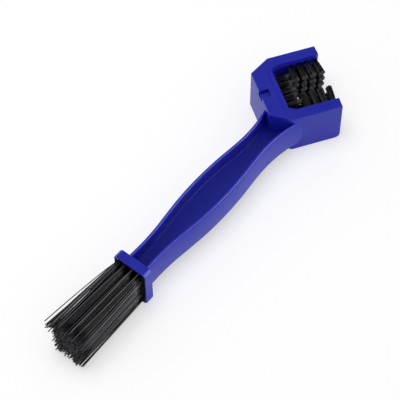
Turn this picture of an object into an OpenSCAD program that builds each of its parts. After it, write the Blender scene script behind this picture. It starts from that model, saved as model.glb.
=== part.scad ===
// Bike chain cleaner: a hand brush with a U-shaped head that scrubs a chain from three sides,
// and a long stiff brush at the other end of its grip. Millimetres, +Z up.
// The brush lies flat: the undersides of the head and of the collar are at height zero.

/* [Grip] */
// Length of the grip, from the collar to the outer corner of the head
grip_l = 147; // [125:1:175]
// Widest width of the grip, across its rims
grip_w = 23.4; // [20:0.2:26]
// Height of the I section
grip_h = 23.4; // [20:0.2:28]
// Thickness of each rim of the I section
rim_t = 1.8; // [1.2:0.1:2.6]
// Thickness of the web between the two channels
web_t = 2.4; // [1.6:0.1:4]
// Distance of the web below the middle of the grip
web_drop = 1.2; // [0:0.1:2.5]
// How far the sides swell outward at half height
side_swell = 1.1; // [0.2:0.1:2]
// Radius of the round gate mark on the web
gate_r = 1.8; // [1:0.1:2.5]

/* [Head] */
// Thickness of the head and of the collar
body_t = 34; // [31:0.5:40]
// Width of the head across its two arms
head_w = 54; // [50:0.5:62]
// Length of the head along its arms
head_l = 48.5; // [46:0.5:56]
// Thickness of each arm
arm_t = 7.5; // [6.5:0.1:9]
// Thickness of the back wall
back_t = 14; // [12:0.1:17]
// Angle by which the head is turned on the grip
head_turn = 32.5; // [25:0.5:40]
// Length of each outer corner's slope along the arm
corner_l = 14.5; // [11:0.5:17]
// Length of each outer corner's slope across the back
corner_w = 8.5; // [6:0.5:11]
// Radius of the lower corner of each arm's tip
tip_r = 3.5; // [1:0.1:4]
// Radius of the round mark on the lower arm
arm_mark_r = 0.9; // [0.5:0.1:1.2]

/* [Tuft carrier] */
// Thickness of the carrier's flange, which lines the gap
flange_t = 3; // [2.4:0.1:3.4]
// Depth of the carrier's core behind the flange
core_t = 1.8; // [1.2:0.1:2.2]
// Distance of the core from the head's two faces
core_edge = 3.25; // [2.5:0.05:4]
// Undercut of the arm cores, which hold the carrier in the shell
undercut = 0.7; // [0.3:0.1:1]
// Length of each inner corner's slope along the arm
inner_l = 5; // [4:0.1:6.5]
// Length of each inner corner's slope across the back
inner_w = 3; // [2:0.1:4]
// Thickness of the film hinges at the inner corners
hinge_t = 0.9; // [0.6:0.1:1.4]
// Clearance between the carrier and the shell
slide_clear = 0.15; // [0.1:0.05:0.3]

/* [Snap tongue] */
// Side of the square notch that the tongue snaps into
notch_w = 6.6; // [6:0.1:8]
// Depth of the notch below the top face
notch_h = 4.2; // [3.8:0.1:5]
// Distance of the notch from the middle of the back wall
notch_off = 0.8; // [0:0.1:3]
// Width of the tongue
tongue_w = 4.2; // [3:0.1:5]
// Thickness of the tongue
tongue_t = 1.4; // [1:0.1:1.6]
// Height of the hook above the tongue
hook_h = 0.6; // [0.5:0.1:1.1]
// Distance of the tongue's end from the back face
tongue_back = 0.6; // [0.2:0.1:1.5]

/* [Collar and end block] */
// Length of the collar
collar_l = 6.6; // [6:0.1:9]
// Width of the collar
collar_w = 24; // [22:0.5:28]
// Thickness of the collar's wall round the block
collar_wall = 1.2; // [1:0.1:2]
// Slope across each long edge of the collar
collar_edge = 2; // [1.5:0.1:3]
// Thickness of the tufted end block
block_t = 4.8; // [4.4:0.1:5.2]
// Distance of the block's face inside the collar's rim
block_inset = 0.4; // [0:0.1:0.6]
// Clearance round the block
block_clear = 0.1; // [0.05:0.05:0.2]

/* [Tufts of the head] */
// Least distance between neighbouring tufts
head_pitch = 5.2; // [4.8:0.1:6.5]
// Diameter of a tuft's hole
head_hole_d = 3.6; // [3:0.1:3.8]
// Free length of the tufts on the arms
arm_tuft_l = 13.5; // [9:0.5:15]
// Free length of the tufts on the back wall
back_tuft_l = 11; // [8:0.5:12]
// Distance of the first arm tuft from the ends of the back tufts
first_gap = 3.8; // [3.4:0.1:5]
// Distance of the last arm tuft from the arm's end
last_gap = 2.7; // [2.4:0.1:4]
// Distance of the outer back tufts from the inner corners
back_gap = 5.9; // [4:0.1:7]
// Distance of the outer levels from the core's edges
level_gap = 2.4; // [2.2:0.1:3]

/* [Tufts of the end brush] */
// Least distance between neighbouring tufts of the end block
end_pitch = 5.2; // [4.8:0.1:6.5]
// Diameter of an end tuft's hole
end_hole_d = 3.6; // [3:0.1:3.8]
// Longest free length of the end brush
brush_l = 61; // [40:1:80]
// Distance of the outer end tufts from the block's edges
end_gap = 2.4; // [2.3:0.1:3]
// How far the outermost bristles stray sideways
stray = 4; // [0:0.5:6]

/* [Anchors] */
// Thickness of the flat metal anchors
anchor_t = 0.4; // [0.3:0.05:0.6]
// Height of the anchors
anchor_h = 1.7; // [1.2:0.1:2]
// Thickness of the plastic left under a tuft's hole
hole_floor = 0.8; // [0.5:0.1:1]
// Clearance between a tuft's root and its hole
root_clear = 0.05; // [0.05:0.05:0.1]

/* [Hidden] */
$fn = 48;

blue = "#2d31a4";
block_black = "#1b1b22";
bristle_black = "#26252b";
anchor_steel = "#a9adb3";

// Every cut runs this far past the faces that it opens
overrun = 0.5;

// Grip: half widths of the rims at equal steps from the collar on, as shares of half the widest
// width. The last two steps flare into the head, and the last one lies inside it.
rim_shares = [0.673, 0.65, 0.7, 0.826, 0.944, 1.002, 0.996, 0.937, 0.826, 0.758, 0.827, 1.05, 1.426, 2];
rim_steps = 11;
loft_steps = 40;
loft_end_share = 1.075;
side_points = 7;
pocket_points = 4;
gate_share = 0.46;
gate_depth = 0.4;
corner_reach_share = 0.923;
mid_z = body_t / 2;
web_z = mid_z - web_drop;

// A smooth curve through four neighbouring values
function between(a, b, c, d, t) = (2 * b + (c - a) * t + (2 * a - 5 * b + 4 * c - d) * t * t
    + (3 * b - a - 3 * c + d) * t * t * t) / 2;
function rim_half(share) =
    let (place = share * rim_steps, i = floor(place),
         a = rim_shares[max(i - 1, 0)], b = rim_shares[i],
         c = rim_shares[i + 1], d = rim_shares[min(i + 2, len(rim_shares) - 1)])
    grip_w / 2 * between(a, b, c, d, place - i);

// Head: its own frame has its origin on the middle of the back face, with x along the arms
half_w = head_w / 2;
half_gap = half_w - arm_t;
carrier_y = half_gap + flange_t;
carrier_x = back_t - flange_t;
core_y = carrier_y + core_t;
core_x = carrier_x - core_t;
back_half = half_gap - inner_w;
arm_start = back_t + inner_l;
core_h = body_t - 2 * core_edge;
// The grip's right-hand rim runs out just past the corner between the slope and the lower arm
head_x = grip_l - corner_l * cos(head_turn) + half_w * sin(head_turn);
head_y = -corner_reach_share * rim_half(1) + corner_l * sin(head_turn) + half_w * cos(head_turn);
arm_mark_share = 0.77;
mark_depth = 0.3;

// Snap tongue: it rests at the top of its window, with room to flex below it
notch_z = body_t - notch_h;
tongue_z = notch_z + hook_h;
hook_flat_share = 0.55;

// End block
block_w = collar_w - 2 * collar_wall - 2 * block_clear;
block_h = body_t - 2 * collar_wall - 2 * block_clear;
block_face = -collar_l + block_inset;
edge_inset_share = 0.6;

// Tuft holes
head_hole_l = flange_t + core_t - hole_floor;
end_hole_l = block_t - hole_floor;
// Places along a face: as many as keep the least distance, with the outermost at first and at last
function places(first, last, pitch) =
    let (count = max(1, floor((last - first) / pitch) + 1))
    [for (i = [0:count - 1]) count == 1 ? (first + last) / 2 : first + (last - first) * i / (count - 1)];
level_z = places(core_edge + level_gap, core_edge + core_h - level_gap, head_pitch);
arm_x = places(back_t + back_tuft_l + first_gap, head_l - last_gap, head_pitch);
back_y = places(back_gap - back_half, back_half - back_gap, head_pitch);
end_y = places(end_gap - block_w / 2, block_w / 2 - end_gap, end_pitch);
end_z = places(mid_z - block_h / 2 + end_gap, mid_z + block_h / 2 - end_gap, end_pitch);
arm_tufts = len(arm_x);
back_tufts = len(back_y);
head_levels = len(level_z);
end_tufts = len(end_y);
end_levels = len(end_z);

// Bristles: each strand stands for a few filaments. In a tuft's own frame z runs out of the face.
// The tufts of a face fan out and their strands spread by one rule, so they never cross.
head_strands = 4;
head_ring_share = 0.27;
head_strand_share = 0.15;
head_fan_shares = [1.1, 1.12];
end_strands = 9;
end_ring_share = 0.347;
end_strand_share = 0.115;
end_fan_shares = [1.06, 1.14];
end_bends = 3;
bend_power = 1.5;
stray_power = 4;
tuft_spread_share = 1.6;
tuft_lean_share = 0.06;
tip_jitter_share = 0.016;
tip_uneven_share = 0.06;
strand_sides = 3;
root_sides = 24;
strand_root_share = 0.3;
full_turn = 360;
ring_turn = 45;

function ring_point(r, angle) = r * [cos(angle), sin(angle)];
// Where a strand leaves the face: on a ring, with one strand in the middle when centred is true
function strand_place(i, count, ring, centred) =
    centred && i == 0 ? [0, 0]
    : ring_point(ring, full_turn * i / (centred ? count - 1 : count) + ring_turn);
function strand_points(root, tip, low, high, r, bends) = [
    for (k = [0:bends])
        let (share = k / bends, lean = pow(share, bend_power), at = root + (tip - root) * lean)
        for (s = [0:strand_sides - 1])
            let (p = at + ring_point(r, full_turn * s / strand_sides))
            [p.x, p.y, low + (high - low) * share]];
function strand_faces(first, bends) =
    let (top = first + strand_sides * bends)
    concat([[first, first + 1, first + 2], [top + 2, top + 1, top]],
        [for (k = [0:bends - 1]) for (s = [0:strand_sides - 1])
            let (a = first + strand_sides * k + s, b = first + strand_sides * k + (s + 1) % strand_sides)
            each [[a, a + strand_sides, b + strand_sides], [a, b + strand_sides, b]]]);

// The random part of each strand's tip: sideways, sideways, and how much shorter it is
function tip_noise(count, seed) =
    let (n = rands(-1, 1, 3 * count, seed))
    [for (i = [0:count - 1]) [n[3 * i], n[3 * i + 1], n[3 * i + 2]]];
function tuft_roots(place, count, ring, centred) =
    [for (i = [0:count - 1]) place + strand_place(i, count, ring, centred)];
// Tips of a tuft: the tuft fans out from the middle of its face and leans a little, and its strands spread
function tuft_tips(place, roots, middle, fan_shares, hole_d, noise, seed) =
    let (out = place - middle,
         tuft_tip = middle + [out.x * fan_shares.x, out.y * fan_shares.y]
             + tuft_lean_share * hole_d * rands(-1, 1, 2, seed + lean_seed))
    [for (i = [0:len(roots) - 1]) tuft_tip + tuft_spread_share * (roots[i] - place)
        + tip_jitter_share * hole_d * [noise[i].x, noise[i].y]];
function tip_lengths(free_l, noise) = [for (n = noise) free_l * (1 - tip_uneven_share * (1 + n.z))];

upper_seed = 300;
lower_seed = 400;
back_seed = 500;
end_seed = 100;
lean_seed = 1000;
row_seeds = 10;
function end_noise(col, level) = tip_noise(end_strands, end_seed + row_seeds * col + level);
end_lengths = [for (col = [0:end_tufts - 1]) for (level = [0:end_levels - 1])
    each tip_lengths(brush_l, end_noise(col, level))];
// The outermost bristles on one side stray outward, the more the nearer they are to the edge
end_half_w = (block_w - 2 * end_gap + end_hole_d) / 2;
function stray_at(root) = [0, stray * pow(max(0, root.y) / end_half_w, stray_power)];

// The part's origin is the middle of the ground that the whole brush covers
function head_point(p) = [
    head_x + p.x * cos(head_turn) + p.y * sin(head_turn),
    head_y - p.x * sin(head_turn) + p.y * cos(head_turn)];
far_x = head_point([head_l, half_w]).x;
near_x = block_face - max(end_lengths);
left_y = max(head_point([0, half_w - corner_w]).y, head_point([corner_l, half_w]).y);
right_y = head_point([head_l, -half_w]).y;
origin_x = (far_x + near_x) / 2;
origin_y = (left_y + right_y) / 2;

module from_origin() {
    translate([-origin_x, -origin_y, 0]) children();
}

module in_head() {
    from_origin() translate([head_x, head_y, 0]) rotate([0, 0, -head_turn]) children();
}

// Faces that carry tufts: x and y lie in the face, and z points the way that the bristles do
module on_upper_arm() {
    in_head() translate([0, half_gap, 0]) rotate([90, 0, 0]) children();
}

module on_lower_arm() {
    in_head() mirror([0, 1, 0]) translate([0, half_gap, 0]) rotate([90, 0, 0]) children();
}

module on_back_wall() {
    in_head() translate([back_t, 0, body_t]) rotate([0, 90, 0]) children();
}

module on_end_block() {
    from_origin() translate([block_face, 0, 0]) rotate([0, -90, 0]) children();
}

// One station of the grip's I section: outer side, rim, channel and web, all the way round
function side_curve(half) = [for (i = [0:side_points - 1])
    let (up = 2 * i / (side_points - 1) - 1) [half + side_swell * (1 - up * up), mid_z + up * grip_h / 2]];
function pocket(in, rim_z, floor_z) = [[in, rim_z], [in, floor_z], [-in, floor_z], [-in, rim_z]];
function section(half) =
    let (right = side_curve(half), in = half - rim_t,
         upper = pocket(in, mid_z + grip_h / 2, web_z + web_t / 2),
         lower = pocket(in, mid_z - grip_h / 2, web_z - web_t / 2))
    concat(right, upper,
        [for (i = [side_points - 1:-1:0]) [-right[i].x, right[i].y]],
        [for (i = [pocket_points - 1:-1:0]) lower[i]]);
section_points = 2 * (side_points + pocket_points);

// The triangles that close a section: a fan for each of the two walls, and the web between them
function fan(hub, ring) = [for (i = [0:len(ring) - 2]) [hub, ring[i], ring[i + 1]]];
side_hub = floor(side_points / 2);
left_first = side_points + pocket_points;
low_first = left_first + side_points;
end_faces = concat(
    fan(side_hub, [for (i = [side_hub + 1:side_points + 1]) i, low_first + 2, low_first + 3,
                   for (i = [0:side_hub - 1]) i]),
    fan(left_first + side_hub, [for (i = [left_first + side_hub + 1:low_first + 1]) i,
                                for (i = [left_first - 2:left_first + side_hub - 1]) i]),
    [[side_points + 1, side_points + 2, low_first + 1], [side_points + 1, low_first + 1, low_first + 2]]);

module grip() {
    start = -collar_wall / 2;
    stations = [for (i = [0:loft_steps]) loft_end_share * i / loft_steps];
    points = [for (i = [0:loft_steps]) for (p = section(rim_half(stations[i])))
        [i == 0 ? start : grip_l * stations[i], p.x, p.y]];
    sides = [for (i = [0:loft_steps - 1]) for (j = [0:section_points - 1])
        let (a = i * section_points + j, b = i * section_points + (j + 1) % section_points)
        each [[a, b + section_points, b], [a, a + section_points, b + section_points]]];
    far = loft_steps * section_points;
    ends = [for (t = end_faces) each [t, [t.z + far, t.y + far, t.x + far]]];
    difference() {
        polyhedron(points, concat(sides, ends), convexity = 6);
        translate([gate_share * grip_l, 0, web_z + web_t / 2 - gate_depth])
            cylinder(r = gate_r, h = grip_h / 2);
    }
}

// Outline of the head seen from above, without the gap
module head_block() {
    linear_extrude(body_t)
        polygon([[0, half_w - corner_w], [corner_l, half_w], [head_l, half_w],
                 [head_l, -half_w], [corner_l, -half_w], [0, corner_w - half_w]]);
}

// The gap between the arms, open at their tips
module gap_outline() {
    polygon([[back_t, back_half], [arm_start, half_gap], [head_l + overrun, half_gap],
             [head_l + overrun, -half_gap], [arm_start, -half_gap], [back_t, -back_half]]);
}

// The carrier's flange seen from above: back plate, two arm plates and two film hinges
module flange_outline(grow, past) {
    translate([carrier_x - grow, -back_half - grow])
        square([flange_t + grow, 2 * (back_half + grow)]);
    for (side = [-1, 1]) scale([1, side]) {
        translate([arm_start - grow, half_gap]) square([head_l - arm_start + grow + past, flange_t + grow]);
        polygon([[back_t, back_half], [arm_start, half_gap],
                 [arm_start, half_gap + hinge_t + grow], [back_t - hinge_t - grow, back_half]]);
    }
}

// Cores behind the flange: undercut on the arms, straight on the back wall
module cores(grow, past) {
    bottom = core_edge - grow;
    top = core_edge + core_h + grow;
    for (side = [-1, 1]) scale([1, side, 1])
        translate([arm_start - grow, 0, 0]) rotate([90, 0, 90])
            linear_extrude(head_l - arm_start + grow + past)
                polygon([[half_gap + flange_t / 2, bottom], [carrier_y, bottom],
                         [core_y + grow, bottom - undercut], [core_y + grow, top + undercut],
                         [carrier_y, top], [half_gap + flange_t / 2, top]]);
    translate([core_x - grow, -back_half + inner_w / 2 - grow, bottom])
        cube([core_t + flange_t / 2 + grow, 2 * (back_half - inner_w / 2 + grow), top - bottom]);
}

// What rounds the lower corner of both arm tips
module tip_corner() {
    difference() {
        translate([head_l - tip_r, -half_w - overrun, -overrun])
            cube([tip_r + overrun, head_w + 2 * overrun, tip_r + overrun]);
        translate([head_l - tip_r, half_w + 2 * overrun, tip_r]) rotate([90, 0, 0])
            cylinder(r = tip_r, h = head_w + 4 * overrun);
    }
}

module head_openings() {
    translate([0, 0, -overrun]) linear_extrude(body_t + 2 * overrun) {
        gap_outline();
        flange_outline(slide_clear, overrun);
    }
    cores(slide_clear, overrun);
    tip_corner();
    // Notch in the top of the back wall, and the window from it to the carrier
    translate([-overrun, -notch_off - notch_w / 2, notch_z])
        cube([notch_w + overrun, notch_w, notch_h + overrun]);
    translate([0, -notch_off - tongue_w / 2 - slide_clear, notch_z])
        cube([carrier_x, tongue_w + 2 * slide_clear, hook_h + tongue_t + slide_clear]);
    translate([arm_mark_share * head_l, -carrier_y - slide_clear - 2 * arm_mark_r, body_t - mark_depth])
        cylinder(r = arm_mark_r, h = mark_depth + overrun);
}

module collar_outline(inset) {
    w = collar_w / 2 - inset;
    h = body_t / 2 - inset;
    edge = collar_edge - edge_inset_share * inset;
    polygon([[-w, -h + edge], [-w + edge, -h], [w - edge, -h], [w, -h + edge],
             [w, h - edge], [w - edge, h], [-w + edge, h], [-w, h - edge]]);
}

// A slab with the collar's outline, from one place along the grip to another
module collar_slab(inset, from, to) {
    translate([from, 0, mid_z]) rotate([90, 0, 90]) linear_extrude(to - from) collar_outline(inset);
}

module handle() {
    color(blue) difference() {
        union() {
            from_origin() grip();
            from_origin() collar_slab(0, -collar_l, 0);
            in_head() head_block();
        }
        in_head() head_openings();
        from_origin() collar_slab(collar_wall, -collar_l - overrun, block_face + block_t);
    }
}

module tuft_holes(places, depth, hole_d) {
    for (p = places) translate([p.x, p.y, -depth]) cylinder(d = hole_d, h = depth + overrun);
}

function arm_places() = [for (x = arm_x) for (z = level_z) [x, z]];
function back_places() = [for (y = back_y) for (z = level_z) [body_t - z, y]];
function end_places() = [for (y = end_y) for (z = end_z) [z, y]];

module tongue() {
    translate([tongue_back, -notch_off - tongue_w / 2, tongue_z])
        cube([carrier_x + flange_t / 2 - tongue_back, tongue_w, tongue_t]);
    hook_l = notch_w - slide_clear - tongue_back;
    translate([tongue_back, -notch_off + tongue_w / 2, tongue_z + tongue_t / 2]) rotate([90, 0, 0])
        linear_extrude(tongue_w)
            polygon([[0, 0], [0, tongue_t / 2], [hook_l * (1 - hook_flat_share), tongue_t / 2 + hook_h],
                     [hook_l, tongue_t / 2 + hook_h], [hook_l, 0]]);
}

module tuft_carrier() {
    color(blue) difference() {
        in_head() {
            linear_extrude(body_t) flange_outline(0, 0);
            cores(0, 0);
            tongue();
        }
        in_head() tip_corner();
        on_upper_arm() tuft_holes(arm_places(), head_hole_l, head_hole_d);
        on_lower_arm() tuft_holes(arm_places(), head_hole_l, head_hole_d);
        on_back_wall() tuft_holes(back_places(), head_hole_l, head_hole_d);
    }
}

module end_tuft_block() {
    color(block_black) difference() {
        from_origin() collar_slab(collar_wall + block_clear, block_face, block_face + block_t);
        on_end_block() tuft_holes(end_places(), end_hole_l, end_hole_d);
    }
}

// A flat anchor on the floor of a tuft's hole, standing on its edge
module anchor(depth, hole_d) {
    width = hole_d - 2 * anchor_t;
    translate([-width / 2, -anchor_t / 2, -depth]) cube([width, anchor_t, anchor_h]);
}

module anchors(places, depth, hole_d) {
    color(anchor_steel) for (p = places) translate([p.x, p.y, 0]) anchor(depth, hole_d);
}

// The root of a tuft fills its hole and is folded over the anchor
module tuft(place, roots, tips, lengths, depth, hole_d, strand_r, bends) {
    low = -strand_root_share * depth;
    points = [for (i = [0:len(roots) - 1])
        each strand_points(roots[i], tips[i], low, lengths[i], strand_r, bends)];
    faces = [for (i = [0:len(roots) - 1]) each strand_faces(i * strand_sides * (bends + 1), bends)];
    color(bristle_black) union() {
        difference() {
            translate([place.x, place.y, -depth])
                cylinder(d = hole_d - 2 * root_clear, h = depth, $fn = root_sides);
            translate([place.x, place.y, 0]) anchor(depth, hole_d);
        }
        polyhedron(points, faces, convexity = 4);
    }
}

module head_tuft(place, middle, free_l, seed) {
    noise = tip_noise(head_strands, seed);
    roots = tuft_roots(place, head_strands, head_ring_share * head_hole_d, false);
    tips = tuft_tips(place, roots, middle, head_fan_shares, head_hole_d, noise, seed);
    tuft(place, roots, tips, tip_lengths(free_l, noise), head_hole_l, head_hole_d,
         head_strand_share * head_hole_d, 1);
}

// A row of the head runs along its face at one level
module arm_row(level, seed) {
    middle = [(arm_x[0] + arm_x[arm_tufts - 1]) / 2, mid_z];
    for (i = [0:arm_tufts - 1])
        head_tuft([arm_x[i], level_z[level]], middle, arm_tuft_l, seed + row_seeds * i + level);
}

module upper_tuft_row(level) {
    on_upper_arm() arm_row(level, upper_seed);
}

module lower_tuft_row(level) {
    on_lower_arm() arm_row(level, lower_seed);
}

module back_tuft_row(level) {
    on_back_wall() for (i = [0:back_tufts - 1])
        head_tuft([body_t - level_z[level], back_y[i]], [mid_z, 0], back_tuft_l,
                  back_seed + row_seeds * i + level);
}

module end_tuft_row(col) {
    on_end_block() for (i = [0:end_levels - 1]) {
        place = [end_z[i], end_y[col]];
        noise = end_noise(col, i);
        roots = tuft_roots(place, end_strands, end_ring_share * end_hole_d, true);
        spread_tips = tuft_tips(place, roots, [mid_z, 0], end_fan_shares, end_hole_d, noise,
                                end_seed + row_seeds * col + i);
        tips = [for (k = [0:end_strands - 1]) spread_tips[k] + stray_at(roots[k])];
        tuft(place, roots, tips, tip_lengths(brush_l, noise), end_hole_l, end_hole_d,
             end_strand_share * end_hole_d, end_bends);
    }
}

module upper_anchors() {
    on_upper_arm() anchors(arm_places(), head_hole_l, head_hole_d);
}

module back_anchors() {
    on_back_wall() anchors(back_places(), head_hole_l, head_hole_d);
}

module lower_anchors() {
    on_lower_arm() anchors(arm_places(), head_hole_l, head_hole_d);
}

module end_anchors() {
    on_end_block() anchors(end_places(), end_hole_l, end_hole_d);
}

handle();
tuft_carrier();
end_tuft_block();
for (i = [1:head_levels]) upper_tuft_row(i - 1);
for (i = [1:head_levels]) back_tuft_row(i - 1);
for (i = [1:head_levels]) lower_tuft_row(i - 1);
for (i = [1:end_tufts]) end_tuft_row(i - 1);
upper_anchors();
back_anchors();
lower_anchors();
end_anchors();
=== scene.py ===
# Bike chain cleaner: a moulded grip with a tufted U-shaped head and a long brush at its other end.
import bmesh
import bpy
import math
from mathutils import Matrix, Vector


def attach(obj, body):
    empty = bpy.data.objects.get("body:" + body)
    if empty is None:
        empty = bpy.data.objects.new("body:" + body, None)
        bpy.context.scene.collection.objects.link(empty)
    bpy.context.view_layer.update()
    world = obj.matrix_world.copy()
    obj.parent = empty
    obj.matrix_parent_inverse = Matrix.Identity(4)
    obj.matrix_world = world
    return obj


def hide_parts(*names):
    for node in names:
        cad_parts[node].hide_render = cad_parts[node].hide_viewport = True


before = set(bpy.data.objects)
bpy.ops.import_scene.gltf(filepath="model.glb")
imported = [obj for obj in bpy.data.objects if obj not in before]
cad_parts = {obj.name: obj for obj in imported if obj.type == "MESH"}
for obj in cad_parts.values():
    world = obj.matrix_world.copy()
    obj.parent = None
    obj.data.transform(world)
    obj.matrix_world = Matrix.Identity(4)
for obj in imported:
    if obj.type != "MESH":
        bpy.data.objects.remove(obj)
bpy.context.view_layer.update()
mm = 0.001
overrun = 1.0    # mm, how far a cutter goes past what it cuts

# the camera, fitted to the corners of the head and collar in the photograph
cameraSetup = {
    "target": (7.336, 8.686, 0.0),   # mm, seen at the middle of the picture
    "azimuth": -50.4006,             # degrees, as the next two
    "elevation": 56.605,
    "roll": -0.4927,
    "distance": 1023.54,             # mm
    "lens": 139.5,                   # mm
    "sensor": 36.0,                  # mm
    "clip": (0.01, 50.0),            # m
}


def placeCamera(setup):
    a, e, r = (math.radians(setup[key]) for key in ("azimuth", "elevation", "roll"))
    back = Vector((math.sin(a) * math.cos(e), -math.cos(a) * math.cos(e), math.sin(e)))
    level = Vector((math.cos(a), math.sin(a), 0))
    right = level * math.cos(r) + back.cross(level) * math.sin(r)
    turn = Matrix((right, back.cross(right), back)).transposed().to_4x4()
    data = bpy.data.cameras.new("camera")
    data.lens, data.sensor_width = setup["lens"], setup["sensor"]
    data.clip_start, data.clip_end = setup["clip"]
    camera = bpy.data.objects.new("camera", data)
    place = (Vector(setup["target"]) + back * setup["distance"]) * mm
    camera.matrix_world = Matrix.Translation(place) @ turn
    bpy.context.scene.collection.objects.link(camera)
    bpy.context.scene.camera = camera


placeCamera(cameraSetup)
print("camera placed")


# helpers for outlines, which are lists of points in mm
def circle(x, y, radius, steps, start=0.0, sweep=360.0):
    # points of an arc; a whole circle leaves its last point out
    count = steps if sweep >= 360 else steps + 1
    angles = [math.radians(start + sweep * i / steps) for i in range(count)]
    return [(x + radius * math.cos(a), y + radius * math.sin(a)) for a in angles]


def mirrored(outline):
    # the same points below the first axis, last one first
    return [(x, -y) for x, y in reversed(outline)]


# helpers for meshes
def link(name, mesh):
    piece = bpy.data.objects.new(name, mesh)
    bpy.context.scene.collection.objects.link(piece)
    return piece


def addSkin(shape, rings):
    # a closed solid through rings of places, all with the same number of places
    rings = [[shape.verts.new(place) for place in ring] for ring in rings]
    shape.faces.new(rings[0])
    shape.faces.new(rings[-1])
    for a, b in zip(rings, rings[1:]):
        for i in range(len(a)):
            j = (i + 1) % len(a)
            shape.faces.new((a[i], a[j], b[j], b[i]))


def asPiece(shape, name):
    bmesh.ops.recalc_face_normals(shape, faces=shape.faces)
    mesh = bpy.data.meshes.new(name)
    shape.to_mesh(mesh)
    shape.free()
    return link(name, mesh)


def prism(outline, low, high, place):
    # an outline drawn in the x-y plane of place and pulled from low to high
    shape = bmesh.new()
    addSkin(shape, [[place @ (Vector((x, y, z)) * mm) for x, y in outline] for z in (low, high)])
    return asPiece(shape, "prism")


def block(low, high, place):
    (x0, y0, z0), (x1, y1, z1) = low, high
    return prism([(x0, y0), (x1, y0), (x1, y1), (x0, y1)], z0, z1, place)


def bake(piece):
    # the evaluated mesh takes the place of the mesh and its modifiers
    graph = bpy.context.evaluated_depsgraph_get()
    mesh = bpy.data.meshes.new_from_object(piece.evaluated_get(graph), depsgraph=graph)
    piece.modifiers.clear()
    old, piece.data = piece.data, mesh
    bpy.data.meshes.remove(old)
    mesh.name = piece.name


def combine(piece, others, operation):
    for other in others:
        step = piece.modifiers.new("step", "BOOLEAN")
        step.object, step.operation, step.solver = other, operation, "EXACT"
    bake(piece)
    for other in others:
        bpy.data.objects.remove(other)


def roundEdges(piece, radius, segments=3, leastAngle=35):
    bevel = piece.modifiers.new("edges", "BEVEL")
    bevel.width, bevel.segments = radius * mm, segments
    bevel.limit_method, bevel.angle_limit = "ANGLE", math.radians(leastAngle)
    bevel.miter_outer = "MITER_ARC"
    bake(piece)


def shade(piece, sharpAngle=40):
    piece.data.shade_smooth()
    piece.data.set_sharp_from_angle(angle=math.radians(sharpAngle))
    normals = piece.modifiers.new("normals", "WEIGHTED_NORMAL")
    normals.keep_sharp = True
    bake(piece)


def finishPiece(piece, name, material, nodes):
    piece.name = piece.data.name = name
    piece.data.materials.clear()
    piece.data.materials.append(material)
    for face in piece.data.polygons:
        face.material_index = 0
    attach(piece, "root")
    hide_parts(*nodes)


# helpers for materials
def linear(hexColour):
    parts = [int(hexColour[i:i + 2], 16) / 255 for i in (1, 3, 5)]
    return tuple(p / 12.92 if p <= 0.04045 else ((p + 0.055) / 1.055) ** 2.4 for p in parts) + (1.0,)


def addNode(tree, kind, inputs=None, **settings):
    # inputs are named or numbered, and hold a value or the socket to link
    node = tree.nodes.new(kind)
    for name, value in settings.items():
        setattr(node, name, value)
    for name, value in (inputs or {}).items():
        if isinstance(value, bpy.types.NodeSocket):
            tree.links.new(value, node.inputs[name])
        else:
            node.inputs[name].default_value = value
    return node


def newMaterial(name):
    material = bpy.data.materials.new(name)
    material.use_nodes = True
    material.node_tree.nodes.clear()
    return material, material.node_tree


# sizes in mm, colours in sRGB
polypropyleneBlue = {
    "colour": "#1d25b6",
    "flowColour": "#1922aa",
    "flowSize": 18.0,
    "flowDetail": 3.0,
    "flowRoughness": 0.55,
    "flowRange": (0.3, 0.7),   # where in the noise the roughness changes
    "ior": 1.49,
    "roughness": 0.35,
    "roughnessSpread": 0.04,
    "grainSize": 0.35,         # the real spark-eroded grain is finer than a pixel
    "grainDetail": 2.0,
    "grainHeight": 0.012,
    "grainStrength": 0.5,
}
# near black: the end tuft block's colour is painted shade, for the shade the bristles cast on the collar's
# front
polypropyleneShadeBlack = {
    **polypropyleneBlue,
    "colour": "#1c1c24",
    "flowColour": "#15151c",
    "flowSize": 12.0,
    "roughness": 0.45,
    "roughnessSpread": 0.05,
}


def makeMouldedPolypropylene(name, look):
    # polypropylene moulded in a spark-eroded steel tool: satin, a soft highlight, faint flow marks
    material, tree = newMaterial(name)
    place = addNode(tree, "ShaderNodeTexCoord").outputs["Object"]
    flow = addNode(tree, "ShaderNodeTexNoise", {
        "Vector": place, "Scale": 1 / (look["flowSize"] * mm), "Detail": look["flowDetail"],
        "Roughness": look["flowRoughness"]}).outputs["Fac"]
    grain = addNode(tree, "ShaderNodeTexNoise", {
        "Vector": place, "Scale": 1 / (look["grainSize"] * mm), "Detail": look["grainDetail"]}).outputs["Fac"]
    colour = addNode(tree, "ShaderNodeMix", {
        "Factor": flow, 6: linear(look["flowColour"]), 7: linear(look["colour"])}, data_type="RGBA")
    low, high = look["flowRange"]
    rough = addNode(tree, "ShaderNodeMapRange", {
        "Value": flow, "From Min": low, "From Max": high,
        "To Min": look["roughness"] - look["roughnessSpread"],
        "To Max": look["roughness"] + look["roughnessSpread"]})
    bump = addNode(tree, "ShaderNodeBump", {
        "Height": grain, "Strength": look["grainStrength"], "Distance": look["grainHeight"] * mm})
    plastic = addNode(tree, "ShaderNodeBsdfPrincipled", {
        "Base Color": colour.outputs[2], "Roughness": rough.outputs["Result"], "IOR": look["ior"],
        "Normal": bump.outputs["Normal"]})
    addNode(tree, "ShaderNodeOutputMaterial", {"Surface": plastic.outputs["BSDF"]})
    return material


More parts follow.
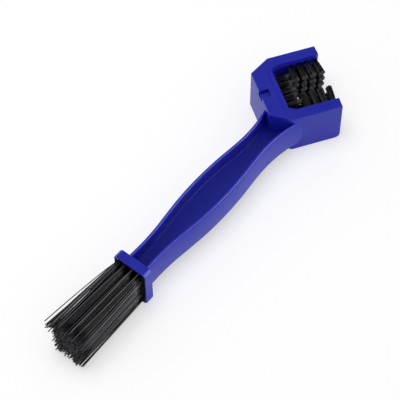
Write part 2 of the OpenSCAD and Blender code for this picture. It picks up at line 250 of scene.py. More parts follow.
nylonBristle = {
    "dark": "#08080a",
    "fewPale": 6.0,        # the higher, the fewer filaments are pale
    # pale filaments: partly a random tone, partly painted highlight streaks along them; the long brush's are
    # paler, for brighter painted streaks
    "headPaleAndSheen": "#5a5960",
    # cut ends: on the short head tufts painted paler, a painted highlight where light falls on the cut
    # facets; on the long brush painted darker, a painted shade
    "headTipHighlight": "#66656c",
    "endPaleAndSheen": "#8c8b93",
    "endTipShaded": "#404048",
    "cutFrom": 0.94,       # share of the length where the colour of the cut end sets in
    "ior": 1.53,
    "specular": 0.25,
    "roughness": 0.24,
}


def makeExtrudedNylon(name, look, pale, tip):
    # extruded black nylon: each filament and each cut end gets a random shade, and a narrow sheen; the pale
    # filaments are partly painted highlight streaks, and the cut ends carry the painted highlight and shade
    # given as tip
    material, tree = newMaterial(name)
    shadeOf = addNode(tree, "ShaderNodeAttribute", attribute_name="filamentShade").outputs["Fac"]
    along = addNode(tree, "ShaderNodeAttribute", attribute_name="filamentAlong").outputs["Fac"]
    # a few filaments at random are pale: partly random tone, partly painted highlight streaks
    paleness = addNode(tree, "ShaderNodeMath", {0: shadeOf, 1: look["fewPale"]}, operation="POWER")
    sides = addNode(tree, "ShaderNodeMix", {
        "Factor": paleness.outputs[0], 6: linear(look["dark"]), 7: linear(pale)}, data_type="RGBA")
    # cut ends, mixed at random between dark and tip, which holds the painted light of the cut ends: highlight
    # on the head, shade on the long brush
    tips = addNode(tree, "ShaderNodeMix", {
        "Factor": shadeOf, 6: linear(look["dark"]), 7: linear(tip)}, data_type="RGBA")
    cut = addNode(tree, "ShaderNodeMapRange", {"Value": along, "From Min": look["cutFrom"], "From Max": 1.0})
    colour = addNode(tree, "ShaderNodeMix", {
        "Factor": cut.outputs["Result"], 6: sides.outputs[2], 7: tips.outputs[2]}, data_type="RGBA")
    nylon = addNode(tree, "ShaderNodeBsdfPrincipled", {
        "Base Color": colour.outputs[2], "Roughness": look["roughness"], "IOR": look["ior"],
        "Specular IOR Level": look["specular"]})
    addNode(tree, "ShaderNodeOutputMaterial", {"Surface": nylon.outputs["BSDF"]})
    return material


rolledSteel = {
    "colour": "#a9adb3",
    "roughness": 0.3,
    "roughnessSpread": 0.08,
    "streakLength": 6.0,   # mm
    "streakWidth": 0.05,   # mm
}


def makeRolledSteel(look):
    # flat steel wire, cold rolled: fine streaks along it
    material, tree = newMaterial("rolledSteelWire")
    place = addNode(tree, "ShaderNodeTexCoord").outputs["Object"]
    perWidth, perLength = (1 / (look[size] * mm) for size in ("streakWidth", "streakLength"))
    stretched = addNode(tree, "ShaderNodeMapping", {
        "Vector": place, "Scale": (perWidth, perWidth, perLength)})
    streaks = addNode(tree, "ShaderNodeTexNoise", {"Vector": stretched.outputs["Vector"], "Scale": 1.0})
    rough = addNode(tree, "ShaderNodeMapRange", {
        "Value": streaks.outputs["Fac"],
        "To Min": look["roughness"] - look["roughnessSpread"],
        "To Max": look["roughness"] + look["roughnessSpread"]})
    steel = addNode(tree, "ShaderNodeBsdfPrincipled", {
        "Base Color": linear(look["colour"]), "Metallic": 1.0, "Roughness": rough.outputs["Result"]})
    addNode(tree, "ShaderNodeOutputMaterial", {"Surface": steel.outputs["BSDF"]})
    return material


bluePlastic = makeMouldedPolypropylene("mouldedPolypropyleneBlue", polypropyleneBlue)
shadeBlackPlastic = makeMouldedPolypropylene("mouldedPolypropyleneShadeBlack", polypropyleneShadeBlack)
# two copies of one nylon that differ only in painted light: the head's cut ends painted paler as highlight,
# the long brush's streaks painted brighter and its cut ends darker as shade
headNylon = makeExtrudedNylon(
    "extrudedNylonShort", nylonBristle, nylonBristle["headPaleAndSheen"], nylonBristle["headTipHighlight"])
endNylon = makeExtrudedNylon(
    "extrudedNylonLong", nylonBristle, nylonBristle["endPaleAndSheen"], nylonBristle["endTipShaded"])
steel = makeRolledSteel(rolledSteel)
print("materials made")

# the handle is one moulding: the head's shell, the grip and the collar
gripPlace = (-68.7641, -2.6085, 0.0)   # mm, where the grip leaves the collar
headPlace = (80.5137, 16.6139, 0.0)    # mm, the middle of the head's back
headTurn = -32.5                        # degrees
gripFrame = Matrix.Translation(Vector(gripPlace) * mm)
headFrame = Matrix.Translation(Vector(headPlace) * mm) @ Matrix.Rotation(math.radians(headTurn), 4, "Z")
alongX = Matrix(((0, 0, 1, 0), (1, 0, 0, 0), (0, 1, 0, 0), (0, 0, 0, 1)))   # draws in y-z, pulls along x
alongY = Matrix(((1, 0, 0, 0), (0, 0, 1, 0), (0, 1, 0, 0), (0, 0, 0, 1)))   # draws in x-z, pulls along y

# all sizes from here to the bristles are in mm
head = {
    "thickness": 34.0, "halfWidth": 27.0, "length": 48.5, "back": 14.0,
    "halfGap": 19.5, "cornerAlong": 14.5, "cornerAcross": 8.5,
    "innerAlong": 5.0, "innerAcross": 3.0,
    "tipRadius": 3.5, "tipSteps": 10, "edgeRadius": 0.45,
    "notchSide": 6.6, "notchDepth": 4.2, "notchOff": 0.8,
    "markRadius": 0.9, "markSteps": 24, "markPlace": (37.3, -24.5), "markDepth": 0.3,
}
carrier = {
    "flange": 3.0, "core": 1.8, "coreEdge": 3.25, "coreOverlap": 1.2, "undercut": 0.7, "hinge": 0.9,
    "clearance": 0.15, "edgeRadius": 0.12,
    "tongueWidth": 4.2, "tongueThickness": 1.4, "tongueBack": 0.6, "tongueSunk": 1.5,
    "hookHeight": 0.35, "hookRiseShare": 0.45, "hookInset": 0.01,
    "openingFrom": 1.0, "openingSunk": 2.0,
    "holeRadius": 1.8, "holeDepth": 4.0, "holeSteps": 20,
}
armStart = head["back"] + head["innerAlong"]
backHalf = head["halfGap"] - head["innerAcross"]


def headOutline(inset=0.0):
    # the head's outside, seen from above, without its gap; every side moves in by inset
    h, w = head, head["halfWidth"]
    slope = math.atan2(h["cornerAcross"], h["cornerAlong"])
    lean = inset * math.tan(slope / 2)
    fold = inset * math.tan((math.pi / 2 - slope) / 2)
    half = [(h["length"] + inset, w - inset), (h["cornerAlong"] + lean, w - inset),
            (inset, w - h["cornerAcross"] - fold)]
    return half + mirrored(half)


def carrierBack(grow):
    # the carrier's rear outline, from an arm's tip to the middle of the back wall
    c, edge = carrier, head["halfGap"] + carrier["flange"] + grow
    end = head["length"] + (overrun if grow else 0)
    return [(end, edge), (armStart - grow, edge),
            (armStart - grow, head["halfGap"] + c["hinge"] + grow),
            (head["back"] - c["hinge"] - grow, backHalf + grow),
            (head["back"] - c["flange"] - grow, backHalf + grow)]


def coreSolids(grow):
    # what holds the carrier in the shell: an undercut core behind each arm, and a plain one in the middle
    c, near = carrier, head["halfGap"] + carrier["flange"]
    deep, into = near + c["core"] + grow, near - c["coreOverlap"]
    low, high = c["coreEdge"] - grow, head["thickness"] - c["coreEdge"] + grow
    profile = [(into, low), (near, low), (deep, low - c["undercut"]),
               (deep, high + c["undercut"]), (near, high), (into, high)]
    end = head["length"] + (overrun if grow else 0)
    arms = [prism([(side * y, z) for y, z in profile], armStart - grow, end, headFrame @ alongX)
            for side in (-1, 1)]
    rear = head["back"] - c["flange"]
    half = backHalf - head["innerAcross"] / 2 + grow
    middle = block((rear - c["core"] - grow, -half, low), (rear + c["coreOverlap"], half, high), headFrame)
    return arms + [middle]


def tipCorners():
    # what is cut away below both arm tips
    r, end, side = head["tipRadius"], head["length"], head["halfWidth"] + 3 * overrun
    arc = circle(end - r, r, r, head["tipSteps"], -90, 90)
    corner = [(end + overrun, r), (end + overrun, -overrun), (end - r, -overrun)]
    return prism(arc + corner, -side, side, headFrame @ alongY)


def makeHeadShell():
    # the outer edges are rounded before the carrier's seat is cut, so that the seam stays a fine line
    h, c, top = head, carrier, head["thickness"]
    shell = prism(headOutline(), 0, top, headFrame)
    combine(shell, [tipCorners()], "DIFFERENCE")
    roundEdges(shell, h["edgeRadius"])
    seat = carrierBack(c["clearance"])
    seat = prism(seat + mirrored(seat), -overrun, top + overrun, headFrame)
    half, off, floor = h["notchSide"] / 2, -h["notchOff"], top - h["notchDepth"]
    notch = block((-overrun, off - half, floor), (h["notchSide"], off + half, top + overrun), headFrame)
    # the tongue comes through an opening on the notch's floor
    room, inner = c["tongueWidth"] / 2 + c["clearance"], h["back"] - c["openingSunk"]
    ceiling = floor + c["hookHeight"] + c["tongueThickness"] + c["clearance"]
    opening = block((c["openingFrom"], off - room, floor), (inner, off + room, ceiling), headFrame)
    x, y = h["markPlace"]
    disc = circle(x, y, h["markRadius"], h["markSteps"])
    mark = prism(disc, top - h["markDepth"], top + overrun, headFrame)
    combine(shell, [seat, notch, opening, mark] + coreSolids(c["clearance"]), "DIFFERENCE")
    return shell


grip = {
    "length": 147.0, "halfWidth": 11.7, "height": 23.4, "middle": 17.0,
    "rim": 1.8, "web": 2.4, "webDrop": 1.2, "swell": 1.1, "swellSteps": 8,
    # half widths at equal steps from the collar to the head, as shares of halfWidth
    "halfShares": [0.673, 0.65, 0.7, 0.826, 0.944, 1.002, 0.996,
                   0.937, 0.826, 0.758, 0.827, 1.05, 1.426, 2.0],
    "shareSteps": 11, "stations": 130, "from": -0.6, "to": 158.0, "headInset": 1.0,
    "rimRadius": 0.85, "rimSteps": 4, "rimInnerRadius": 0.7, "rimInnerSteps": 3,
    "filletRadius": 0.5, "filletSteps": 5,
    "gatePlace": 67.6, "gateRadius": 1.8, "gateSteps": 32, "gateDepth": 0.4,
}


def smoothShare(values, place):
    # a smooth curve through the values
    i = int(place)
    a, b, c, d = (values[min(max(k, 0), len(values) - 1)] for k in (i - 1, i, i + 1, i + 2))
    t = place - i
    return (2 * b + (c - a) * t + (2 * a - 5 * b + 4 * c - d) * t * t + (3 * b - a - 3 * c + d) * t ** 3) / 2


def gripHalf(x):
    place = max(0.0, x / grip["length"] * grip["shareSteps"])
    return grip["halfWidth"] * smoothShare(grip["halfShares"], place)


def gripWall(toWeb):
    # the wall above the web: from the outside at half height, over the rim, down to the channel's floor
    g, r, q, f = grip, grip["rimRadius"], grip["rimInnerRadius"], grip["filletRadius"]
    up = g["height"] / 2
    heights = [up * i / g["swellSteps"] for i in range(1, g["swellSteps"])]
    side = [(g["swell"] * (1 - (z / up) ** 2), z) for z in heights if z < up - r]
    over = circle(-r, up - r, r, g["rimSteps"], 0, 90)
    down = circle(q - g["rim"], up - q, q, g["rimInnerSteps"], 90, 90)
    floor = circle(-g["rim"] - f, toWeb + f, f, g["filletSteps"], 0, -90)
    return side + over + down + floor


def makeGrip():
    g, halfWeb = grip, grip["web"] / 2
    above, below = gripWall(halfWeb - g["webDrop"]), gripWall(halfWeb + g["webDrop"])
    wall = mirrored(below) + [(g["swell"], 0.0)] + above
    rings = []
    for i in range(g["stations"] + 1):
        x = g["from"] + (g["to"] - g["from"]) * i / g["stations"]
        half = gripHalf(x)
        ring = [(half + y, z) for y, z in wall] + [(-half - y, z) for y, z in reversed(wall)]
        rings.append([gripFrame @ (Vector((x, y, g["middle"] + z)) * mm) for y, z in ring])
    shape = bmesh.new()
    addSkin(shape, rings)
    piece = asPiece(shape, "grip")
    inside = prism(headOutline(g["headInset"]), -overrun, head["thickness"] + overrun, headFrame)
    floor = g["middle"] - g["webDrop"] + halfWeb
    disc = circle(g["gatePlace"], 0, g["gateRadius"], g["gateSteps"])
    gate = prism(disc, floor - g["gateDepth"], floor + overrun, gripFrame)
    combine(piece, [inside, gate], "DIFFERENCE")
    return piece


collar = {
    "length": 6.6, "halfWidth": 12.8, "halfHeight": 17.0,
    "slope": 2.0, "slopeLoss": 0.6,   # the cut corners, and how much smaller an inset of 1 mm makes them
    "wall": 1.2, "floor": 1.4, "edgeRadius": 0.45,
}


def collarOutline(inset):
    w, h = collar["halfWidth"] - inset, collar["halfHeight"] - inset
    e = collar["slope"] - collar["slopeLoss"] * inset
    upper = [(w, h - e), (w - e, h), (e - w, h), (-w, h - e)]
    return [(y, grip["middle"] + z) for y, z in upper + mirrored(upper)]


def makeCollar():
    c, place = collar, gripFrame @ alongX
    slab = prism(collarOutline(0), -c["length"], 0, place)
    pocket = prism(collarOutline(c["wall"]), -c["length"] - overrun, -c["floor"], place)
    combine(slab, [pocket], "DIFFERENCE")
    roundEdges(slab, c["edgeRadius"])
    return slab


handle = makeHeadShell()
combine(handle, [makeGrip(), makeCollar()], "UNION")
shade(handle)
finishPiece(handle, "handleMoulding", bluePlastic, ["handle"])
print("handle made:", len(handle.data.polygons), "faces")

# places of the tufts in the frames of the head and of the grip
tufts = {
    "armPlaces": [28.8, 34.467, 40.133, 45.8],
    "backPlaces": [-10.6, -5.3, 0.0, 5.3, 10.6],
    "headLevels": [5.65, 11.325, 17.0, 22.675, 28.35],
    "endPlaces": [-8.3, -2.767, 2.767, 8.3],
    "endLevels": [3.7, 9.02, 14.34, 19.66, 24.98, 30.3],
    "endFace": -6.2,
}


def holePlaces():
    # mouth and inward direction of every hole in the carrier, in the head's frame
    gap, back, levels = head["halfGap"], head["back"], tufts["headLevels"]
    arms = [((x, s * gap, z), (0, s, 0)) for s in (1, -1) for x in tufts["armPlaces"] for z in levels]
    return arms + [((back, y, z), (-1, 0, 0)) for y in tufts["backPlaces"] for z in levels]


def makeCarrier():
    h, c = head, carrier
    rear = carrierBack(0)
    front = [(h["back"], backHalf), (armStart, h["halfGap"]), (h["length"], h["halfGap"])]
    outline = rear + mirrored(rear) + mirrored(front) + front
    body = prism(outline, 0, h["thickness"], headFrame)
    # a snap tongue, and on its end the hook that stands in the notch
    off, low = -h["notchOff"], h["thickness"] - h["notchDepth"] + c["hookHeight"]
    half, back = c["tongueWidth"] / 2, c["tongueBack"]
    inside, high = low + c["tongueThickness"] / 2, low + c["tongueThickness"]
    peak = high + c["hookHeight"]
    tongue = block((back, off - half, low), (h["back"] - c["tongueSunk"], off + half, high), headFrame)
    long = h["notchSide"] - c["clearance"] - back
    profile = [(back, inside), (back, high), (back + c["hookRiseShare"] * long, peak),
               (back + long, peak), (back + long, inside)]
    half -= c["hookInset"]
    hook = prism(profile, off - half, off + half, headFrame @ alongY)
    combine(body, coreSolids(0) + [tongue, hook], "UNION")
    combine(body, [tipCorners()], "DIFFERENCE")
    roundEdges(body, c["edgeRadius"])
    drills = bmesh.new()
    hole = circle(0, 0, c["holeRadius"], c["holeSteps"])
    for mouth, inward in holePlaces():
        turn = Vector(inward).to_track_quat("Z", "Y").to_matrix().to_4x4()
        place = headFrame @ Matrix.Translation(Vector(mouth) * mm) @ turn
        addSkin(drills, [[place @ (Vector((x, y, z)) * mm) for x, y in hole]
                         for z in (-overrun, c["holeDepth"])])
    combine(body, [asPiece(drills, "drills")], "DIFFERENCE")
    return body


carrierPiece = makeCarrier()
shade(carrierPiece)
finishPiece(carrierPiece, "tuftCarrier", bluePlastic, ["tuft_carrier"])
print("carrier made:", len(carrierPiece.data.polygons), "faces")

# bristles: one tree makes the filaments of a row of tufts
strays = {
    "power": 8.0,           # the higher, the nearer to the edge a filament must stand to stray
    "shares": (0.2, 1.2),   # the least and the most of a row's Stray that a filament takes
    "extraLength": 0.04,    # how much longer those at the edge are, as a share of their length
}
lowestTip = 0.6    # mm, the least height of a filament's tip
farOff = 1.0       # m, further out than any tip

# what one part of the tree leaves on the mesh for another, and no finished piece keeps
carried = {
    "tuftMiddle": "FLOAT_VECTOR", "tuftTurn": "FLOAT", "leanAcross": "FLOAT", "leanAlong": "FLOAT",
    "rootPlace": "FLOAT_VECTOR", "tipPlace": "FLOAT_VECTOR", "reach": "FLOAT",
    "waveAcross": "FLOAT", "waveAlong": "FLOAT", "unitPlace": "FLOAT_VECTOR",
}


def makeTuftTree():
    tree = bpy.data.node_groups.new("tuftRow", "GeometryNodeTree")
    sockets = tree.interface
    sockets.new_socket("Geometry", in_out="INPUT", socket_type="NodeSocketGeometry")
    for name, kind in (
            ("Filaments", "Int"), ("Sides", "Int"), ("Segments", "Int"), ("Seed", "Int"),
            ("Root Radius", "Float"), ("Filament Radius", "Float"),
            ("Length", "Float"), ("Root Depth", "Float"),
            ("Across", "Vector"), ("Along", "Vector"), ("Outward", "Vector"), ("Middle", "Vector"),
            ("Fan Across", "Float"), ("Fan Along", "Float"), ("Spread", "Float"), ("Lean", "Float"),
            ("Jitter", "Float"), ("Uneven", "Float"), ("Bend", "Float"), ("Wave", "Float"),
            ("Stray", "Float"), ("Stray Reach", "Float"), ("Material", "Material")):
        sockets.new_socket(name, in_out="INPUT", socket_type="NodeSocket" + kind)
    sockets.new_socket("Geometry", in_out="OUTPUT", socket_type="NodeSocketGeometry")
    given = addNode(tree, "NodeGroupInput").outputs
    number, vector, store = "ShaderNodeMath", "ShaderNodeVectorMath", "GeometryNodeStoreNamedAttribute"

    def add(kind, *values, **settings):
        # the values go to the node's inputs in their order, and its first output comes back
        return addNode(tree, kind, dict(enumerate(values)), **settings).outputs[0]

    kept = {name: add("GeometryNodeInputNamedAttribute", name, data_type=kind)
            for name, kind in carried.items()}
    position = add("GeometryNodeInputPosition")
    # the random values, each from its own seed: three of a tuft as a whole, then those of a filament
    ranges = {"turn": (0.0, 2 * math.pi), "leanAcross": (-1.0, 1.0), "leanAlong": (-1.0, 1.0),
              "jitterAcross": (-1.0, 1.0), "jitterAlong": (-1.0, 1.0), "stray": strays["shares"],
              "shortness": (0.0, 1.0), "shade": (0.0, 1.0),
              "waveAcross": (-1.0, 1.0), "waveAlong": (-1.0, 1.0)}
    chance = {}
    for extraSeed, (name, (least, most)) in enumerate(ranges.items(), 1):
        seed = add(number, given["Seed"], extraSeed, operation="ADD")
        value = addNode(tree, "FunctionNodeRandomValue", {2: least, 3: most, "Seed": seed})
        chance[name] = value.outputs[1]

    mouths = given["Geometry"]
    for name, value in (("tuftMiddle", position), ("tuftTurn", chance["turn"]),
                        ("leanAcross", chance["leanAcross"]), ("leanAlong", chance["leanAlong"])):
        mouths = add(store, mouths, True, name, value, data_type=carried[name], domain="POINT")
    copies = addNode(tree, "GeometryNodeDuplicateElements",
                     {"Geometry": mouths, "Amount": given["Filaments"]}, domain="POINT").outputs
    # the filaments of a tuft lie in a sunflower pattern, which fills the hole evenly
    index = copies["Duplicate Index"]
    share = add(number, add(number, index, 0.5, operation="ADD"), given["Filaments"], operation="DIVIDE")
    radius = add(number, given["Root Radius"], add(number, share, operation="SQRT"), operation="MULTIPLY")
    goldenAngle = math.pi * (3 - math.sqrt(5))
    angle = add(number, index, goldenAngle, kept["tuftTurn"], operation="MULTIPLY_ADD")
    # roots and tips: the row's tufts fan out, each tuft spreads and leans, and each filament has its jitter
    outOf = add(vector, kept["tuftMiddle"], given["Middle"], operation="SUBTRACT")
    root = tip = kept["tuftMiddle"]
    fromMiddle = {}
    for name, turned in (("Across", "COSINE"), ("Along", "SINE")):
        offset = add(number, radius, add(number, angle, operation=turned), operation="MULTIPLY")
        place = addNode(tree, vector, {0: outOf, 1: given[name]}, operation="DOT_PRODUCT").outputs["Value"]
        shift = add(number, place, given["Fan " + name], operation="MULTIPLY")
        shift = add(number, kept["lean" + name], given["Lean"], shift, operation="MULTIPLY_ADD")
        shift = add(number, chance["jitter" + name], given["Jitter"], shift, operation="MULTIPLY_ADD")
        shift = add(number, offset, given["Spread"], shift, operation="MULTIPLY_ADD")
        root = add(vector, given[name], offset, root, operation="MULTIPLY_ADD")
        tip = add(vector, given[name], shift, tip, operation="MULTIPLY_ADD")
        fromMiddle[name] = add(number, place, offset, operation="ADD")
    # on one side the outermost filaments bend away, the upper ones most
    edge, upper = (add(number, add(number, fromMiddle[name], given["Stray Reach"], operation="DIVIDE"),
                       0.0, operation="MAXIMUM") for name in ("Along", "Across"))
    edge = add(number, add(number, edge, strays["power"], operation="POWER"), upper, operation="MULTIPLY")
    stray = add(number, add(number, edge, given["Stray"], operation="MULTIPLY"), chance["stray"],
                operation="MULTIPLY")
    tip = add(vector, given["Along"], stray, tip, operation="MULTIPLY_ADD")
    # the lowest ones are held above the floor
    tip = add(vector, tip, (-farOff, -farOff, lowestTip * mm), operation="MAXIMUM")
    share = add(number, edge, strays["extraLength"], 1.0, operation="MULTIPLY_ADD")
    uneven = add(number, given["Uneven"], chance["shortness"], operation="MULTIPLY")
    share = add(number, share, uneven, operation="SUBTRACT")
    reach = add(number, given["Length"], share, operation="MULTIPLY")
    filaments = copies["Geometry"]
    for name, value in (
            ("rootPlace", root), ("tipPlace", add(vector, tip, root, operation="SUBTRACT")),
            ("reach", reach), ("filamentShade", chance["shade"]),
            ("waveAcross", add(number, chance["waveAcross"], given["Wave"], operation="MULTIPLY")),
            ("waveAlong", add(number, chance["waveAlong"], given["Wave"], operation="MULTIPLY"))):
        filaments = add(store, filaments, True, name, value,
                        data_type=carried.get(name, "FLOAT"), domain="POINT")

    # one straight filament of unit size is copied to every place, then bent
    straight = addNode(tree, "GeometryNodeMeshCylinder", {
        "Vertices": given["Sides"], "Side Segments": given["Segments"], "Radius": 1.0, "Depth": 1.0})
    unit = add(store, straight.outputs["Mesh"], True, "unitPlace", position,
               data_type=carried["unitPlace"], domain="POINT")
    many = addNode(tree, "GeometryNodeInstanceOnPoints", {"Points": filaments, "Instance": unit}).outputs[0]
    real = add("GeometryNodeRealizeInstances", many)
    x, y, z = addNode(tree, "ShaderNodeSeparateXYZ", {0: kept["unitPlace"]}).outputs
    height = add(number, z, 0.5, operation="ADD")   # 0 at the root, 1 at the tip
    real = add(store, real, True, "filamentAlong", height, data_type="FLOAT", domain="POINT")
    bend = add(number, add(number, height, 0.0, operation="MAXIMUM"), given["Bend"], operation="POWER")
    wave = add(number, add(number, height, math.pi, operation="MULTIPLY"), operation="SINE")
    whole = add(number, kept["reach"], given["Root Depth"], operation="ADD")
    above = add(number, add(number, height, whole, operation="MULTIPLY"), given["Root Depth"],
                operation="SUBTRACT")
    place = add(vector, kept["tipPlace"], bend, kept["rootPlace"], operation="MULTIPLY_ADD")
    place = add(vector, given["Outward"], above, place, operation="MULTIPLY_ADD")
    for name, aside in (("Across", x), ("Along", y)):
        swing = add(number, wave, kept["wave" + name], operation="MULTIPLY")
        aside = add(number, aside, given["Filament Radius"], swing, operation="MULTIPLY_ADD")
        place = add(vector, given[name], aside, place, operation="MULTIPLY_ADD")
    shaped = addNode(tree, "GeometryNodeSetPosition", {"Geometry": real, "Position": place}).outputs[0]
    smooth = addNode(tree, "GeometryNodeSetShadeSmooth", {"Geometry": shaped, "Shade Smooth": True})
    coloured = addNode(tree, "GeometryNodeSetMaterial", {
        "Geometry": smooth.outputs[0], "Material": given["Material"]})
    addNode(tree, "NodeGroupOutput", {"Geometry": coloured.outputs[0]})
    return tree


tuftTree = makeTuftTree()
headTufts = {
    "Filaments": 42, "Sides": 6, "Segments": 3, "Length": 13.5 * mm,
    "Root Radius": 1.5 * mm, "Filament Radius": 0.26 * mm, "Root Depth": 1.5 * mm,
    "Spread": 1.5, "Lean": 0.2 * mm, "Jitter": 0.12 * mm, "Uneven": 0.03, "Bend": 0.8, "Wave": 0.05 * mm,
    "Stray": 0.0, "Stray Reach": 1.0, "Fan Across": 0.10, "Fan Along": 0.12, "Material": headNylon,
}
# the back wall's tufts are shorter and neater than those of the arms
backTufts = {
    **headTufts, "Length": 11.0 * mm,
    "Spread": 1.2, "Lean": 0.1 * mm, "Jitter": 0.05 * mm, "Uneven": 0.015, "Fan Across": 0.05,
}
endTufts = {
    "Filaments": 25, "Sides": 8, "Segments": 6, "Length": 61.0 * mm,
    "Root Radius": 1.5 * mm, "Filament Radius": 0.36 * mm, "Root Depth": 1.5 * mm,
    "Spread": 2.3, "Lean": 1.3 * mm, "Jitter": 1.1 * mm, "Uneven": 0.05, "Bend": 0.75, "Wave": 0.12 * mm,
    "Stray": 7.5 * mm, "Stray Reach": 10.1 * mm, "Fan Across": 0.0, "Fan Along": 0.02, "Material": endNylon,
}
seeds = {"upper": 100, "lower": 300, "back": 500, "end": 700}
seedStep = 20    # from one row to the next


def makeTuftRow(label, index, place, mouths, middle, axes, settings):
    # mouths, middle and the axes across, along and outward are in the frame of place
    name = f"{label}Tufts{index + 1}"
    mesh = bpy.data.meshes.new(name)
    mesh.from_pydata([tuple(place @ (Vector(mouth) * mm)) for mouth in mouths], [], [])
    row = link(name, mesh)
    values = {**settings, "Middle": place @ (Vector(middle) * mm), "Seed": seeds[label] + seedStep * index}
    for axis, direction in zip(("Across", "Along", "Outward"), axes):
        values[axis] = place.to_3x3() @ Vector(direction)
    grow = row.modifiers.new("filaments", "NODES")
    grow.node_group = tuftTree
    for socket in tuftTree.interface.items_tree:
        if socket.in_out == "INPUT" and socket.name in values:
            grow[socket.identifier] = values[socket.name]
    bake(row)
    for used in carried:
        if used in row.data.attributes:
            row.data.attributes.remove(row.data.attributes[used])
    finishPiece(row, name, settings["Material"], [f"{label}_tuft_row_{index + 1}"])
    return len(row.data.polygons)


faces = 0
middleLevel = head["thickness"] / 2
armMiddle = (tufts["armPlaces"][0] + tufts["armPlaces"][-1]) / 2
# the lower rows' three axes are left-handed, so the faces of their filaments point inwards
for i, z in enumerate(tufts["headLevels"]):
    for label, side in (("upper", 1), ("lower", -1)):
        wall = side * head["halfGap"]
        faces += makeTuftRow(label, i, headFrame, [(x, wall, z) for x in tufts["armPlaces"]],
                             (armMiddle, wall, middleLevel), ((1, 0, 0), (0, 0, 1), (0, -side, 0)), headTufts)
    faces += makeTuftRow("back", i, headFrame, [(head["back"], y, z) for y in tufts["backPlaces"]],
                         (head["back"], 0, middleLevel), ((0, 1, 0), (0, 0, 1), (1, 0, 0)), backTufts)
for i, y in enumerate(tufts["endPlaces"]):
    faces += makeTuftRow("end", i, gripFrame, [(tufts["endFace"], y, z) for z in tufts["endLevels"]],
                         (tufts["endFace"], 0, middleLevel), ((0, 0, 1), (0, 1, 0), (-1, 0, 0)), endTufts)
print("bristles made:", faces, "faces")

# CAD nodes that keep their shape
# the end tuft block takes the near-black painted shade; the anchors take steel
for node, material in (("end_tuft_block", shadeBlackPlastic), ("upper_anchors", steel), ("back_anchors", steel),
                       ("lower_anchors", steel), ("end_anchors", steel)):
    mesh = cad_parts[node].data
    mesh.materials.clear()
    mesh.materials.append(material)
print("CAD nodes finished")

# floor, light and background
studio = {
    "floorColour": "#c4c4c4",
    "floorSize": 12.0,       # m
    "floorGlow": 0.5,        # only for the camera: makes unshaded floor white
    "floorShine": 0.28,      # the same for reflections
    "fill": 0.7,             # even light from all round
    "skyTop": 0.1,           # what reflections see high up
    "skyHeight": 0.8,        # where the sky gets there: 0 is level, 1 straight up
    # seen only in reflections, within a cone round its direction
    "brightPanel": {"direction": (0.424, -0.7, 0.57), "from": 0.8, "to": 0.93, "strength": 4.0},
    "lamps": {               # W, m, place in m, what it lights
        "softbox": (4.8, 0.8, (-0.35, 0.9, 0.7), "piece"),
        "sideBox": (4.5, 0.3, (0.6, -0.95, 0.2), "piece"),
        "overhead": (5.0, 0.6, (-0.08, 0.2, 1.1), "floor"),
    },
}


def makeFloor(setup):
    half = setup["floorSize"] / 2
    mesh = bpy.data.meshes.new("floor")
    corners = [(-half, -half, 0), (half, -half, 0), (half, half, 0), (-half, half, 0)]
    mesh.from_pydata(corners, [], [(0, 1, 2, 3)])
    floor = link("floor", mesh)
    material, tree = newMaterial("paperFloor")
    rays = addNode(tree, "ShaderNodeLightPath").outputs
    mirroring = addNode(tree, "ShaderNodeMath", {
        0: rays["Is Glossy Ray"], 1: rays["Is Transmission Ray"]}, operation="MAXIMUM").outputs[0]
    shine = addNode(tree, "ShaderNodeMath", {
        0: mirroring, 1: setup["floorShine"]}, operation="MULTIPLY").outputs[0]
    glow = addNode(tree, "ShaderNodeMath", {
        0: rays["Is Camera Ray"], 1: setup["floorGlow"], 2: shine}, operation="MULTIPLY_ADD").outputs[0]
    paper = addNode(tree, "ShaderNodeBsdfDiffuse", {"Color": linear(setup["floorColour"])}).outputs[0]
    white = addNode(tree, "ShaderNodeEmission", {"Strength": glow}).outputs[0]
    both = addNode(tree, "ShaderNodeAddShader", {0: paper, 1: white}).outputs[0]
    addNode(tree, "ShaderNodeOutputMaterial", {"Surface": both})
    mesh.materials.append(material)
    return floor


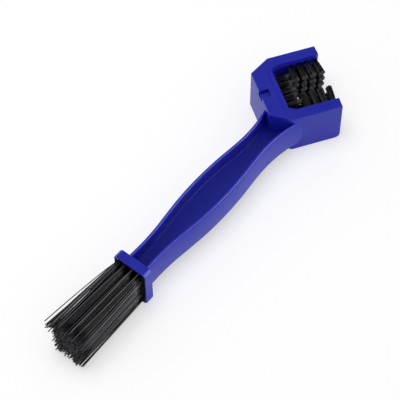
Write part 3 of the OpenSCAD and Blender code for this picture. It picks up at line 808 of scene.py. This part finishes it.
def makeWorld(setup):
    # the camera sees an even pale ground; reflections see a pale horizon that darkens overhead, and a bright
    # panel that lines the rounded edges; all else gets the even fill
    world = bpy.data.worlds.new("studio")
    bpy.context.scene.world = world
    world.use_nodes = True
    tree = world.node_tree
    tree.nodes.clear()
    rays = addNode(tree, "ShaderNodeLightPath").outputs
    toSky = addNode(tree, "ShaderNodeTexCoord").outputs["Generated"]
    height = addNode(tree, "ShaderNodeSeparateXYZ", {0: toSky}).outputs["Z"]
    sky = addNode(tree, "ShaderNodeMapRange", {
        "Value": height, "From Min": 0.0, "From Max": setup["skyHeight"],
        "To Min": 1.0, "To Max": setup["skyTop"]}).outputs["Result"]
    panel = setup["brightPanel"]
    near = addNode(tree, "ShaderNodeVectorMath", {0: toSky, 1: panel["direction"]}, operation="DOT_PRODUCT")
    bright = addNode(tree, "ShaderNodeMapRange", {
        "Value": near.outputs["Value"], "From Min": panel["from"], "From Max": panel["to"],
        "To Min": 0.0, "To Max": panel["strength"]}).outputs["Result"]
    mirrorImage = addNode(tree, "ShaderNodeMath", {0: sky, 1: bright}, operation="ADD").outputs[0]
    unseen = addNode(tree, "ShaderNodeMix", {
        "Factor": rays["Is Glossy Ray"], 2: setup["fill"], 3: mirrorImage})
    seen = addNode(tree, "ShaderNodeMath", {
        0: rays["Is Camera Ray"], 1: rays["Is Transmission Ray"]}, operation="MAXIMUM").outputs[0]
    strength = addNode(tree, "ShaderNodeMix", {"Factor": seen, 2: unseen.outputs[0], 3: 1.0}).outputs[0]
    shown = addNode(tree, "ShaderNodeBackground", {"Strength": strength})
    addNode(tree, "ShaderNodeOutputWorld", {"Surface": shown.outputs[0]})


def makeLamps(setup, floor):
    # the floor has its own lamp, which sets the width of the piece's shadow there
    lit = {what: bpy.data.collections.new(name)
           for what, name in (("floor", "litByOverhead"), ("piece", "litByBoxes"))}
    for group in lit.values():
        group.objects.link(floor)
    lit["piece"].collection_objects[0].light_linking.link_state = "EXCLUDE"
    for name, (power, size, place, what) in setup["lamps"].items():
        data = bpy.data.lights.new(name, "AREA")
        data.energy, data.size = power, size
        lamp = bpy.data.objects.new(name, data)
        place = Vector(place)
        lamp.matrix_world = Matrix.Translation(place) @ place.to_track_quat("Z", "Y").to_matrix().to_4x4()
        lamp.light_linking.receiver_collection = lit[what]
        bpy.context.scene.collection.objects.link(lamp)


makeWorld(studio)
makeLamps(studio, makeFloor(studio))
bpy.context.scene.view_settings.view_transform = "Standard"
print("studio set")
